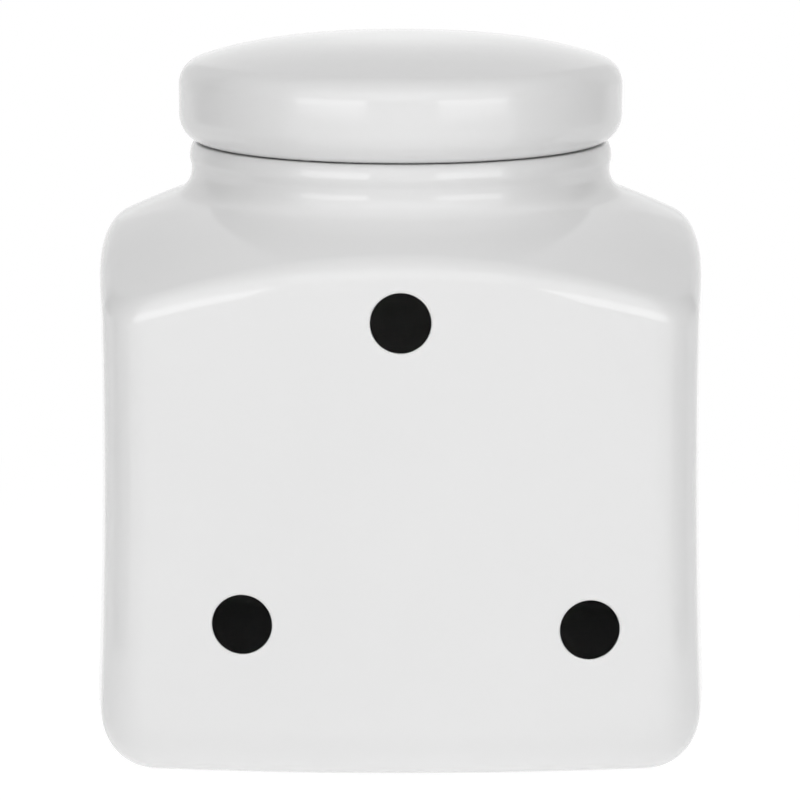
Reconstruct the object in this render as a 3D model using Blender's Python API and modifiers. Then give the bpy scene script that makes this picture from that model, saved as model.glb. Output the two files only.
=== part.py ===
"""Vented ceramic storage canister: a bowed-square jar, a hollow push-fit lid and its seal.

Metres, +Z up. The origin is the middle of the foot, on the surface that the jar stands on, and the face
with the vents looks along -Y. The jar is a loft: every ring has the same stations, which follow the bowed
square on the walls and spread out evenly round the neck.
"""

import math
from collections import namedtuple

import bmesh
import bpy
import numpy as np
from mathutils import Vector

# Walls of the jar: widths are across two faces, and the rises set where each width is taken
BASE_WIDTH = 0.1534
WAIST_WIDTH = 0.1500
TOP_WIDTH = 0.1493
WAIST_RISE = 0.0458
TOP_RISE = 0.0550
FACE_BOW_RADIUS = 0.4360
CORNER_RADIUS = 0.0135
WALL = 0.0050
INNER_CORNER_RADIUS = 0.0085

# Foot and floor
FOOT_INSET = 0.0122
FOOT_ROUND_HEIGHT = 0.0142
FOOT_CORNER_RADIUS = 0.0030
FOOT_RING_WIDTH = 0.0060
RECESS_DEPTH = 0.0018
RECESS_RUN = 0.0030
RECESS_CORNER_RADIUS = 0.0090
FLOOR_THICKNESS = 0.0060
FLOOR_FILLET = 0.0090

# Shoulder: a turned slope that steepens from the neck to the corners
SHOULDER_HEIGHT = 0.1343
NECK_SLOPE = math.radians(19.5)
CORNER_SLOPE = math.radians(31.4)
SHOULDER_FILLET = 0.0085
INNER_SHOULDER_FILLET = 0.0045
NECK_COVE = 0.0062
INNER_NECK_ROUND = 0.0080

# Neck and lip
NECK_RADIUS = 0.0527
NECK_HEIGHT = 0.0112
NECK_WALL = 0.0050
LIP_BEAD = 0.0004
LIP_BEAD_HEIGHT = 0.0056
LIP_ROUND_WIDTH = 0.0015
LIP_ROUND_HEIGHT = 0.0035
LIP_INNER_ROUND = 0.0014
LARGEST_ROUND_SHARE = 0.48
LARGEST_BEAD_SHARE = 0.8

# Vents, all in the front face
VENT_DIAMETER = 0.0143
VENT_FLARE = math.radians(19)
VENT_OUTER_LIP = 0.0005
VENT_INNER_LIP = 0.0005
UPPER_VENT_DROP = 0.0135
LEFT_VENT_OFFSET = 0.0376
LEFT_VENT_HEIGHT = 0.0391
RIGHT_VENT_OFFSET = 0.0449
RIGHT_VENT_HEIGHT = 0.0376
CUT_OVERRUN = 0.0040

# Lid, measured from its seat on the lip
LID_OVERHANG = 0.0030
LID_THICKNESS = 0.0262
LID_WALL = 0.0060
DOME_DROP = 0.0073
DOME_POWER = 3.1
CROWN_ROUND = 0.0046
LOWER_ROUND_WIDTH = 0.0062
LOWER_ROUND_HEIGHT = 0.0072
CAVITY_CROWN_ROUND = 0.0050
CAVITY_FLARE = 0.0050

# Plug flange of the lid and the seal in its groove
FLANGE_CLEARANCE = 0.0020
FLANGE_TIP = 0.0040
FLANGE_WEB = 0.0030
FLANGE_ROUND = 0.0012
GROOVE_DROP = 0.0030
GROOVE_HEIGHT = 0.0090
GROOVE_DEPTH = 0.0022
SEAL_BAND = 0.0013
SEAL_FIN_ROOT = 0.0014
SEAL_FIN_TIP = 0.0007
SEAL_FIN_LIFT = 0.0006
SEAL_FINS = 3

# Gap that is left between pieces that touch
TOUCH_GAP = 0.0003

# Fineness of the meshes
FACE_STEPS = 10
CORNER_STEPS = 6
QUARTER_STEPS = FACE_STEPS + CORNER_STEPS
RECESS_RINGS = 2
FOOT_RINGS = 6
FLOOR_RINGS = 3
LIP_RINGS = 3
EDGE_PASSES = 12
LID_DOME_STEPS = 6
LID_ROUND_STEPS = 4
LID_LOWER_STEPS = 5
CAVITY_DOME_STEPS = 4
FLANGE_ROUND_STEPS = 2
LID_STEPS = 64
SEAL_STEPS = 40
VENT_STEPS = 24
MERGE_DISTANCE = 0.00005
SHARP_ANGLE = math.radians(40)

# Colours and gloss
GLAZE_COLOUR = (0.80, 0.80, 0.79)
GLAZE_ROUGHNESS = 0.14
GLAZE_COAT = 0.6
SILICONE_COLOUR = (0.72, 0.72, 0.70)
SILICONE_ROUGHNESS = 0.45

# A skin is one side of the wall of the jar, and its steps are for its wall, fillet, shoulder and neck
Skin = namedtuple("Skin", "inset corner_radius fillet cove neck_radius steps")
OUTSIDE = Skin(0, CORNER_RADIUS, SHOULDER_FILLET, NECK_COVE, NECK_RADIUS, (6, 6, 6, 5))
INSIDE = Skin(WALL, INNER_CORNER_RADIUS, INNER_SHOULDER_FILLET, INNER_NECK_ROUND, NECK_RADIUS - NECK_WALL,
              (4, 3, 4, 3))

# Heights and radii that several pieces share
WAIST_HEIGHT = FOOT_ROUND_HEIGHT + WAIST_RISE
TOP_HEIGHT = WAIST_HEIGHT + TOP_RISE
LIP_HEIGHT = SHOULDER_HEIGHT + NECK_HEIGHT
FLOOR_HEIGHT = RECESS_DEPTH + FLOOR_THICKNESS
BORE_RADIUS = INSIDE.neck_radius
LID_RADIUS = NECK_RADIUS + LID_OVERHANG
FLANGE_RADIUS = BORE_RADIUS - FLANGE_CLEARANCE
GROOVE_RADIUS = FLANGE_RADIUS - GROOVE_DEPTH
FLANGE_INNER_RADIUS = GROOVE_RADIUS - FLANGE_WEB
FLANGE_DEPTH = GROOVE_DROP + GROOVE_HEIGHT + FLANGE_TIP

# Half the width across the faces, as a parabola in height through the base, waist and top
WALL_CURVE = np.polyfit((FOOT_ROUND_HEIGHT, WAIST_HEIGHT, TOP_HEIGHT),
                        (BASE_WIDTH / 2, WAIST_WIDTH / 2, TOP_WIDTH / 2), 2)


def empty_the_file():
    """Remove every object, so that the script can be run again."""
    for old in list(bpy.data.objects):
        bpy.data.objects.remove(old, do_unlink=True)


def make_collection(name):
    """Return a new collection of that name in the scene."""
    collection = bpy.data.collections.new(name)
    bpy.context.scene.collection.children.link(collection)
    return collection


def make_material(name, colour, roughness, coat=0.0):
    """Return a Principled material."""
    material = bpy.data.materials.new(name)
    material.use_nodes = True
    shader = material.node_tree.nodes["Principled BSDF"]
    shader.inputs["Base Color"].default_value = (*colour, 1.0)
    shader.inputs["Roughness"].default_value = roughness
    shader.inputs["Metallic"].default_value = 0.0
    shader.inputs["Coat Weight"].default_value = coat
    material.diffuse_color = (*colour, 1.0)
    return material


def conic(start, corner, end, steps):
    """Points of the arc that leaves start and reaches end along the lines through corner.

    Where both lines are equally long it is a circle's arc. The points may be arrays of radius and height.
    """
    start, corner, end = (np.asarray(point, dtype=float) for point in (start, corner, end))
    first = corner - start
    second = end - corner
    lengths = np.sqrt((first ** 2).sum(axis=0) * (second ** 2).sum(axis=0))
    turn = np.arccos(np.clip((first * second).sum(axis=0) / lengths, -1, 1))
    weight = np.cos(turn / 2)
    points = []
    for share in np.linspace(0, 1, steps + 1):
        near, middle, far = (1 - share) ** 2, 2 * weight * share * (1 - share), share ** 2
        points.append((near * start + middle * corner + far * end) / (near + middle + far))
    return points


def ellipse_arc(centre, radii, first, last, steps):
    """Points (radius, height) of an ellipse's arc between two angles."""
    angles = np.linspace(first, last, steps + 1)
    return [(centre[0] + radii[0] * math.cos(a), centre[1] + radii[1] * math.sin(a)) for a in angles]


def half_width(height):
    """Half the width across the faces at a height."""
    return np.polyval(WALL_CURVE, height)


def corner_centre(half, radius):
    """Distance of a corner's centre from both axes, where the corner's arc meets the bowed faces."""
    bow_centre = FACE_BOW_RADIUS - half
    reach = FACE_BOW_RADIUS - radius
    return (np.sqrt(2 * reach ** 2 - bow_centre ** 2) - bow_centre) / 2


def bowed_square(half, radius):
    """Plan of the jar at every station: four bowed faces with round corners.

    The half width and the corner radius may be one number or one for each station.
    """
    stations = np.arange(4 * QUARTER_STEPS)
    half = np.broadcast_to(half, stations.shape)
    radius = np.broadcast_to(radius, stations.shape)
    centre = corner_centre(half, radius)
    tangent = np.arcsin(centre / (FACE_BOW_RADIUS - radius))
    step = stations % QUARTER_STEPS
    on_face = step < FACE_STEPS
    face_angle = tangent * (2 * step / FACE_STEPS - 1)
    corner_angle = tangent + (math.pi / 2 - 2 * tangent) * (step - FACE_STEPS) / CORNER_STEPS
    face_x = FACE_BOW_RADIUS * np.sin(face_angle)
    face_y = FACE_BOW_RADIUS - half - FACE_BOW_RADIUS * np.cos(face_angle)
    corner_x = centre + radius * np.sin(corner_angle)
    corner_y = -centre - radius * np.cos(corner_angle)
    x = np.where(on_face, face_x, corner_x)
    y = np.where(on_face, face_y, corner_y)
    turn = stations // QUARTER_STEPS * math.pi / 2
    return x * np.cos(turn) - y * np.sin(turn), x * np.sin(turn) + y * np.cos(turn)


def even_azimuths():
    """Azimuths of the stations round the neck, from -Y towards +X, with equal steps."""
    stations = np.arange(4 * QUARTER_STEPS)
    return (stations - FACE_STEPS / 2) * math.pi / 2 / QUARTER_STEPS


def turned_ring(radius, azimuth, height):
    """Ring of points from radius, azimuth and height at each station."""
    radius, azimuth, height = np.broadcast_arrays(radius, azimuth, height)
    return np.column_stack((radius * np.sin(azimuth), -radius * np.cos(azimuth), height))


def plan_ring(half, radius, height):
    """Ring of points that follows the bowed square."""
    x, y = bowed_square(half, radius)
    return np.column_stack(np.broadcast_arrays(x, y, height))


def corner_reach():
    """Distance of the outer corners from the axis, half way up."""
    return math.sqrt(2) * corner_centre(WAIST_WIDTH / 2, CORNER_RADIUS) + CORNER_RADIUS


def shoulder_slope(radius):
    """Fall of the outer shoulder for each metre outwards."""
    share = (radius - NECK_RADIUS) / (corner_reach() - NECK_RADIUS)
    return math.tan(NECK_SLOPE) + (math.tan(CORNER_SLOPE) - math.tan(NECK_SLOPE)) * share


def shoulder_height(skin, radius):
    """Height of the shoulder on one skin, which is offset square to the slope."""
    fall = (radius - NECK_RADIUS) * (math.tan(NECK_SLOPE) + shoulder_slope(radius)) / 2
    return SHOULDER_HEIGHT - fall - skin.inset * np.sqrt(1 + shoulder_slope(radius) ** 2)


def wall_radius(skin, height):
    """Distance of the wall from the axis at every station."""
    return np.hypot(*bowed_square(half_width(height) - skin.inset, skin.corner_radius))


def shoulder_edge(skin):
    """Radius and height at every station where wall and shoulder would meet without a fillet."""
    height = np.full(4 * QUARTER_STEPS, TOP_HEIGHT)
    for _ in range(EDGE_PASSES):
        height = shoulder_height(skin, wall_radius(skin, height))
    return wall_radius(skin, height), height


def shoulder_rings(skin):
    """Rings of one skin from the top of its wall, over the fillet and the shoulder, to its neck."""
    neck = skin.neck_radius
    _, fillet_steps, shoulder_steps, cove_steps = skin.steps
    edge_radius, edge_height = shoulder_edge(skin)
    room = (edge_radius.min() - neck) / 2
    slope = np.arctan(shoulder_slope(edge_radius))
    reach = np.minimum(skin.fillet * np.tan(math.pi / 4 - slope / 2), room)
    low = edge_height - reach
    low_radius = wall_radius(skin, low)
    high_radius = edge_radius - reach * np.cos(slope)
    high = shoulder_height(skin, high_radius)
    fall = shoulder_slope(high_radius)
    lean = (edge_radius - low_radius) / reach
    rise = (high + fall * (high_radius - low_radius) - low) / (1 + fall * lean)
    corner = (low_radius + lean * rise, low + rise)
    plan = bowed_square(half_width(low) - skin.inset, skin.corner_radius)
    azimuth = np.arctan2(plan[0], -plan[1])
    azimuth = np.where(azimuth < even_azimuths() - math.pi, azimuth + 2 * math.pi, azimuth)
    rings = []
    for radius, height in conic((low_radius, low), corner, (high_radius, high), fillet_steps):
        rings.append(turned_ring(radius, azimuth, height))
    neck_slope = math.atan(float(shoulder_slope(neck)))
    cove_reach = min(skin.cove * math.tan(math.pi / 4 - neck_slope / 2), room)
    cove_radius = neck + cove_reach * math.cos(neck_slope)
    for share in np.linspace(0, 1, shoulder_steps + 1)[1:-1]:
        radius = high_radius + (cove_radius - high_radius) * share
        blend = share ** 2 * (3 - 2 * share)
        turned = azimuth + (even_azimuths() - azimuth) * blend
        rings.append(turned_ring(radius, turned, shoulder_height(skin, radius)))
    cove_height = float(shoulder_height(skin, cove_radius))
    cove_corner = cove_height + float(shoulder_slope(cove_radius)) * (cove_radius - neck)
    arc = conic((cove_radius, cove_height), (neck, cove_corner), (neck, cove_corner + cove_reach), cove_steps)
    for radius, height in arc:
        rings.append(turned_ring(radius, even_azimuths(), height))
    return rings


def wall_rings(skin, bottom, top):
    """Rings of one skin's wall between a level bottom and the top at each station."""
    rings = []
    for share in np.linspace(0, 1, skin.steps[0] + 1)[1:-1]:
        height = bottom + (top - bottom) * share
        rings.append(plan_ring(half_width(height) - skin.inset, skin.corner_radius, height))
    return rings


def foot_rings():
    """Rings of the recess, the foot ring and the round up to the outer wall."""
    base = half_width(FOOT_ROUND_HEIGHT)
    ring_inside = base - FOOT_INSET - FOOT_RING_WIDTH
    rings = []
    recess = conic((ring_inside - RECESS_RUN, RECESS_DEPTH), (ring_inside - RECESS_RUN / 2, RECESS_DEPTH),
                   (ring_inside, 0), RECESS_RINGS)
    for half, height in recess:
        rings.append(plan_ring(half, RECESS_CORNER_RADIUS, height))
    for half, height in ellipse_arc((base - FOOT_INSET, FOOT_ROUND_HEIGHT), (FOOT_INSET, FOOT_ROUND_HEIGHT),
                                    -math.pi / 2, 0, FOOT_RINGS):
        share = (base - half) / FOOT_INSET
        radius = CORNER_RADIUS + (FOOT_CORNER_RADIUS - CORNER_RADIUS) * share
        rings.append(plan_ring(half, radius, height))
    return rings


def lip_rings(outer_top, inner_top):
    """Rings of the neck between its cove and the bore: a slight bead and a rounded lip."""
    bead_radius = NECK_RADIUS + LIP_BEAD
    lip_width = bead_radius - BORE_RADIUS
    round_width = min(LIP_ROUND_WIDTH, lip_width * LARGEST_ROUND_SHARE)
    inner_round = min(LIP_INNER_ROUND, lip_width * LARGEST_ROUND_SHARE)
    bead = min(LIP_BEAD_HEIGHT, (LIP_HEIGHT - outer_top) * LARGEST_BEAD_SHARE)
    round_height = min(LIP_ROUND_HEIGHT, bead * LARGEST_BEAD_SHARE)
    profile = [(NECK_RADIUS, LIP_HEIGHT - bead)]
    centre = (bead_radius - round_width, LIP_HEIGHT - round_height)
    profile += ellipse_arc(centre, (round_width, round_height), 0, math.pi / 2, LIP_RINGS)
    profile += ellipse_arc((BORE_RADIUS + inner_round, LIP_HEIGHT - inner_round), (inner_round, inner_round),
                           math.pi / 2, math.pi, LIP_RINGS)
    profile.append((BORE_RADIUS, (LIP_HEIGHT - inner_round + inner_top) / 2))
    return [turned_ring(radius, even_azimuths(), height) for radius, height in profile]


def inner_floor_rings():
    """Rings of the fillet between the floor and the inner wall, from the floor up."""
    wall = half_width(FLOOR_HEIGHT + FLOOR_FILLET) - WALL
    arc = ellipse_arc((wall - FLOOR_FILLET, FLOOR_HEIGHT + FLOOR_FILLET), (FLOOR_FILLET, FLOOR_FILLET),
                      -math.pi / 2, 0, FLOOR_RINGS)
    return [plan_ring(half, INNER_CORNER_RADIUS, height) for half, height in arc]


def jar_rings():
    """All rings of the jar, from the middle of its underside, over the lip, to the floor inside."""
    outer_foot = foot_rings()
    outer_shoulder = shoulder_rings(OUTSIDE)
    outer_wall = wall_rings(OUTSIDE, FOOT_ROUND_HEIGHT, outer_shoulder[0][:, 2])
    inner_floor = inner_floor_rings()
    inner_shoulder = shoulder_rings(INSIDE)
    inner_wall = wall_rings(INSIDE, FLOOR_HEIGHT + FLOOR_FILLET, inner_shoulder[0][:, 2])
    lip = lip_rings(outer_shoulder[-1][0, 2], inner_shoulder[-1][0, 2])
    inside = inner_floor + inner_wall + inner_shoulder
    return outer_foot + outer_wall + outer_shoulder + lip + inside[::-1]


def loft(name, rings, first_point, last_point):
    """Closed mesh through rings of equal stations, ended by a fan to a point at both ends."""
    mesh = bpy.data.meshes.new(name)
    shape = bmesh.new()
    rows = [[shape.verts.new(point) for point in ring] for ring in rings]
    for low, high in zip(rows, rows[1:]):
        for index in range(len(low)):
            after = (index + 1) % len(low)
            shape.faces.new((low[index], low[after], high[after], high[index]))
    for row, point in ((rows[0], first_point), (rows[-1], last_point)):
        centre = shape.verts.new(point)
        for index in range(len(row)):
            shape.faces.new((row[index], centre, row[(index + 1) % len(row)]))
    bmesh.ops.recalc_face_normals(shape, faces=shape.faces)
    shape.to_mesh(mesh)
    shape.free()
    return mesh


def turned_object(name, profile, steps, closed, collection):
    """Object turned about its own Z from (radius, height) points that run down the outer side."""
    mesh = bpy.data.meshes.new(name)
    count = len(profile)
    edges = [(index, index + 1) for index in range(count - 1)]
    if closed:
        edges.append((count - 1, 0))
    mesh.from_pydata([(radius, 0, height) for radius, height in profile], edges, [])
    turned = bpy.data.objects.new(name, mesh)
    collection.objects.link(turned)
    screw = turned.modifiers.new("turn", "SCREW")
    screw.axis = "Z"
    screw.angle = 2 * math.pi
    screw.steps = steps
    screw.render_steps = steps
    screw.use_smooth_shade = True
    screw.use_merge_vertices = True
    screw.merge_threshold = MERGE_DISTANCE
    return turned


def face_point(x, height):
    """Point of the front face and the direction square to it."""
    across = math.sqrt(FACE_BOW_RADIUS ** 2 - x ** 2)
    y = FACE_BOW_RADIUS - float(half_width(height)) - across
    growth = float(np.polyval(np.polyder(WALL_CURVE), height))
    return Vector((x, y, height)), Vector((x / across, -1, -growth)).normalized()


def vent_profile():
    """Profile of a vent's cutter, from outside the face to inside it, with a soft lip at both ends.

    The vent is narrowest just behind its outer lip and widens from there inwards.
    """
    radius = VENT_DIAMETER / 2
    outer = ellipse_arc((radius + VENT_OUTER_LIP, -VENT_OUTER_LIP), (VENT_OUTER_LIP, VENT_OUTER_LIP),
                        math.pi / 2, math.pi + VENT_FLARE, LIP_RINGS)
    flare_radius, flare_height = outer[-1]
    inner_height = VENT_INNER_LIP - WALL
    flare_run = flare_height - inner_height + VENT_INNER_LIP * math.sin(VENT_FLARE)
    inner_radius = flare_radius + flare_run * math.tan(VENT_FLARE) + VENT_INNER_LIP * math.cos(VENT_FLARE)
    inner = ellipse_arc((inner_radius, inner_height), (VENT_INNER_LIP, VENT_INNER_LIP),
                        math.pi + VENT_FLARE, 3 * math.pi / 2, LIP_RINGS - 1)
    top = CUT_OVERRUN
    bottom = -WALL - CUT_OVERRUN
    start = [(0, top), (radius + VENT_OUTER_LIP, top)]
    end = [(inner_radius, bottom), (0, bottom)]
    return start + outer + inner + end


def vent_places():
    """Name, offset and height of each vent; the upper one hangs from the shoulder's edge on the face."""
    _, edge_height = shoulder_edge(OUTSIDE)
    return (("upper", 0, float(edge_height[FACE_STEPS // 2]) - UPPER_VENT_DROP),
            ("left", -LEFT_VENT_OFFSET, LEFT_VENT_HEIGHT),
            ("right", RIGHT_VENT_OFFSET, RIGHT_VENT_HEIGHT))


def make_jar(parts, cutters):
    """The jar: the loft, with the vents cut through the front face."""
    mesh = loft("jar_body", jar_rings(), (0, 0, RECESS_DEPTH), (0, 0, FLOOR_HEIGHT))
    mesh.shade_smooth()
    mesh.set_sharp_from_angle(angle=SHARP_ANGLE)
    jar = bpy.data.objects.new("jar_body", mesh)
    parts.objects.link(jar)
    for place, offset, height in vent_places():
        cutter = turned_object("vent_cutter_" + place, vent_profile(), VENT_STEPS, False, cutters)
        point, outwards = face_point(offset, height)
        cutter.location = point
        cutter.rotation_mode = "QUATERNION"
        cutter.rotation_quaternion = outwards.to_track_quat("Z", "Y")
        cutter.hide_render = True
        cutter.display_type = "WIRE"
        vent = jar.modifiers.new("vent_" + place, "BOOLEAN")
        vent.operation = "DIFFERENCE"
        vent.solver = "EXACT"
        vent.object = cutter
    glaze = make_material("white_glaze_jar", GLAZE_COLOUR, GLAZE_ROUGHNESS, GLAZE_COAT)
    jar.data.materials.append(glaze)
    return jar


def dome_height(radius, crown):
    """Height of a dome that is flat in the middle and falls faster towards the rim."""
    return crown - DOME_DROP * (radius / LID_RADIUS) ** DOME_POWER


def dome_profile(rim, crown, rounding, steps):
    """Dome from the axis out to the rim, and the round that turns it down into the side."""
    start = rim - min(rounding, rim / 2)
    points = [(start * share, dome_height(start * share, crown)) for share in np.linspace(0, 1, steps)[:-1]]
    height = dome_height(start, crown)
    fall = DOME_DROP * DOME_POWER / LID_RADIUS * (start / LID_RADIUS) ** (DOME_POWER - 1)
    corner = height - fall * (rim - start)
    reach = math.hypot(rim - start, height - corner)
    turn_down = conic((start, height), (rim, corner), (rim, corner - reach), LID_ROUND_STEPS)
    return points + [tuple(point) for point in turn_down]


def lid_profile():
    """Profile of the lid, with height zero at the seat: dome, side, seat, flange, groove and cavity."""
    outer = dome_profile(LID_RADIUS, LID_THICKNESS, CROWN_ROUND, LID_DOME_STEPS)
    outer += ellipse_arc((LID_RADIUS - LOWER_ROUND_WIDTH, LOWER_ROUND_HEIGHT),
                         (LOWER_ROUND_WIDTH, LOWER_ROUND_HEIGHT), 0, -math.pi / 2, LID_LOWER_STEPS)
    groove_end = -GROOVE_DROP - GROOVE_HEIGHT
    flange = [(FLANGE_RADIUS, 0), (FLANGE_RADIUS, -GROOVE_DROP), (GROOVE_RADIUS, -GROOVE_DROP),
              (GROOVE_RADIUS, groove_end), (FLANGE_RADIUS, groove_end)]
    rounding = (FLANGE_ROUND, FLANGE_ROUND)
    tip = FLANGE_ROUND - FLANGE_DEPTH
    flange += ellipse_arc((FLANGE_RADIUS - FLANGE_ROUND, tip), rounding, 0, -math.pi / 2, FLANGE_ROUND_STEPS)
    flange += ellipse_arc((FLANGE_INNER_RADIUS + FLANGE_ROUND, tip), rounding, -math.pi / 2, -math.pi,
                          FLANGE_ROUND_STEPS)
    crown = dome_profile(LID_RADIUS - LID_WALL, LID_THICKNESS - LID_WALL, CAVITY_CROWN_ROUND,
                         CAVITY_DOME_STEPS)
    flare = conic((FLANGE_INNER_RADIUS, 0), (FLANGE_INNER_RADIUS, CAVITY_FLARE), crown[-1], LID_ROUND_STEPS)
    return outer + flange + [tuple(point) for point in flare[:-1]] + crown[::-1]


def seal_profile():
    """Profile of the seal, measured from the lid's seat: a band in the groove and its fins."""
    inner = GROOVE_RADIUS + TOUCH_GAP
    band = inner + SEAL_BAND
    reach = BORE_RADIUS - TOUCH_GAP
    top = -GROOVE_DROP - TOUCH_GAP
    height = GROOVE_HEIGHT - 2 * TOUCH_GAP
    profile = [(inner, top), (band, top)]
    for fin in range(SEAL_FINS):
        middle = top - height * (fin + 0.5) / SEAL_FINS
        profile.append((band, middle + SEAL_FIN_ROOT / 2))
        profile.append((reach, middle + SEAL_FIN_LIFT + SEAL_FIN_TIP / 2))
        profile.append((reach, middle + SEAL_FIN_LIFT - SEAL_FIN_TIP / 2))
        profile.append((band, middle - SEAL_FIN_ROOT / 2))
    profile += [(band, top - height), (inner, top - height)]
    return profile


def make_lid(parts):
    """The lid and its seal, carried by an empty on the axis of the lift, at the height of the seat."""
    lift = bpy.data.objects.new("lid_lift", None)
    lift.location = (0, 0, LIP_HEIGHT + TOUCH_GAP)
    parts.objects.link(lift)
    lid = turned_object("lid", lid_profile(), LID_STEPS, False, parts)
    glaze = make_material("white_glaze_lid", GLAZE_COLOUR, GLAZE_ROUGHNESS, GLAZE_COAT)
    lid.data.materials.append(glaze)
    seal = turned_object("lid_seal", seal_profile(), SEAL_STEPS, True, parts)
    silicone = make_material("clear_silicone", SILICONE_COLOUR, SILICONE_ROUGHNESS)
    seal.data.materials.append(silicone)
    for piece in (lid, seal):
        piece.parent = lift
    return lid, seal


def main():
    """Build the canister."""
    empty_the_file()
    parts = make_collection("storage_canister")
    cutters = make_collection("cutters")
    make_jar(parts, cutters)
    make_lid(parts)


main()
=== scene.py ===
import math
from collections import namedtuple
from contextlib import contextmanager

import bmesh
import bpy
import numpy as np
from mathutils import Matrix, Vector


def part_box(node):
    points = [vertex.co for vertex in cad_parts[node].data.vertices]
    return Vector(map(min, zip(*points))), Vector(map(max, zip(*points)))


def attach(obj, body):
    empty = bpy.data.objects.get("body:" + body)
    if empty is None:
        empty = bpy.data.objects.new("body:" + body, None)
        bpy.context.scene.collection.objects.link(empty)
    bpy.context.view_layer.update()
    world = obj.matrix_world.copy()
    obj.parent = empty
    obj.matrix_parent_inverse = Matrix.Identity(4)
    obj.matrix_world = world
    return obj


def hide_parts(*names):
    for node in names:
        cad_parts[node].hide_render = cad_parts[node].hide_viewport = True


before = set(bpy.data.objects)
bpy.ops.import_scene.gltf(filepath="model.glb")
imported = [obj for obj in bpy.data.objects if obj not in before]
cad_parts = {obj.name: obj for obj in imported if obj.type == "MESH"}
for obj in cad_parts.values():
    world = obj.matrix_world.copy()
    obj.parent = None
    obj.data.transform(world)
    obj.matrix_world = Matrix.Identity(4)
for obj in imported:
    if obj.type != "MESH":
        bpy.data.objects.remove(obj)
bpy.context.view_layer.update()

# The looks of a vented ceramic storage canister: fine meshes of the glazed jar, its hollow lid
# and the silicone seal, their glazes, and a plain white studio. Metres, +Z up; the face with
# the vents looks along -Y.

JAR_LOW, JAR_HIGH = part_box("jar_body")
LID_LOW, LID_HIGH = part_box("lid")
SEAL_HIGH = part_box("lid_seal")[1]

# Walls of the jar: widths are across two faces, and the rises set where each width is taken
BASE_WIDTH = JAR_HIGH.x - JAR_LOW.x
WAIST_WIDTH = 0.1500
TOP_WIDTH = 0.1493
WAIST_RISE = 0.0458
TOP_RISE = 0.0550
FACE_BOW_RADIUS = 0.4360
CORNER_RADIUS = 0.0135
WALL = 0.0050
INNER_CORNER_RADIUS = 0.0085

# Foot and floor: the glaze ends at the bare height
FOOT_INSET = 0.0122
FOOT_ROUND_HEIGHT = 0.0142
FOOT_CORNER_RADIUS = 0.0030
FOOT_RING_WIDTH = 0.0060
FOOT_BLEND = 0.0040
BARE_HEIGHT = 0.0003
RECESS_DEPTH = 0.0018
RECESS_RUN = 0.0030
RECESS_CORNER_RADIUS = 0.0090
FLOOR_THICKNESS = 0.0060
FLOOR_FILLET = 0.0090

# Shoulder: a turned slope that steepens from the neck to the corners
NECK_SLOPE = math.radians(19.5)
CORNER_SLOPE = math.radians(31.4)
SHOULDER_FILLET = 0.0085
INNER_SHOULDER_FILLET = 0.0045
NECK_COVE = 0.0062
INNER_NECK_ROUND = 0.0080

# Neck and lip, which rises a little into the solids' gap under the lid to thin the line there
LID_OVERHANG = 0.0030
NECK_RADIUS = LID_HIGH.x - LID_OVERHANG
NECK_HEIGHT = 0.0112
NECK_WALL = 0.0050
BORE_RADIUS = NECK_RADIUS - NECK_WALL
LIP_RISE = 0.0002
LIP_HEIGHT = JAR_HIGH.z + LIP_RISE
LIP_BEAD = 0.0004
LIP_BEAD_HEIGHT = 0.0060
LIP_ROUND_WIDTH = 0.0015
LIP_ROUND_HEIGHT = 0.0037
LIP_INNER_ROUND = 0.0014

# Vents, all in the front face
VENT_RADIUS = 0.00715
VENT_FLARE = math.radians(19)
VENT_LIP = 0.0005
UPPER_VENT_DROP = 0.0135
LEFT_VENT_OFFSET = 0.0376
LEFT_VENT_HEIGHT = 0.0391
RIGHT_VENT_OFFSET = 0.0449
RIGHT_VENT_HEIGHT = 0.0376
CUT_OVERRUN = 0.0020
RIM_FLARE = 0.0003
RIM_ANGLE = math.radians(9)

# Lid, whose profile is measured from its seat
TOUCH_GAP = 0.0003
LID_SEAT = JAR_HIGH.z + TOUCH_GAP
LID_RADIUS = LID_HIGH.x
LID_THICKNESS = LID_HIGH.z - LID_SEAT
LID_WALL = 0.0060
DOME_DROP = 0.0073
DOME_POWER = 3.1
CROWN_ROUND = 0.0046
LOWER_ROUND_WIDTH = 0.0062
LOWER_ROUND_HEIGHT = 0.0072
CAVITY_CROWN_ROUND = 0.0050
CAVITY_FLARE = 0.0050
LID_SHARP_ANGLE = math.radians(40)

# Plug flange of the lid and the groove for the seal
FLANGE_CLEARANCE = 0.0020
FLANGE_RADIUS = BORE_RADIUS - FLANGE_CLEARANCE
FLANGE_DEPTH = LID_SEAT - LID_LOW.z
FLANGE_ROUND = 0.0012
FLANGE_EDGE = 0.0003
GROOVE_DROP = 0.0030
GROOVE_HEIGHT = 0.0090
GROOVE_DEPTH = 0.0022
GROOVE_RADIUS = FLANGE_RADIUS - GROOVE_DEPTH
FLANGE_WALL = 0.0030
FLANGE_INNER_RADIUS = GROOVE_RADIUS - FLANGE_WALL

# Seal: a band with fins that point a little upwards
SEAL_BAND = 0.0013
SEAL_FINS = 3
SEAL_FIN_ROOT = 0.0014
SEAL_FIN_TIP = 0.0007
SEAL_FIN_LIFT = 0.0006
SEAL_ROOT_LIFT = SEAL_FIN_LIFT / 4
SEAL_SHARP_ANGLE = math.radians(50)

# Steps round the jar: along each face and round each corner
FACE_STEPS = 72
CORNER_STEPS = 18
QUARTER_STEPS = FACE_STEPS + CORNER_STEPS
STATIONS = 4 * QUARTER_STEPS

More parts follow.
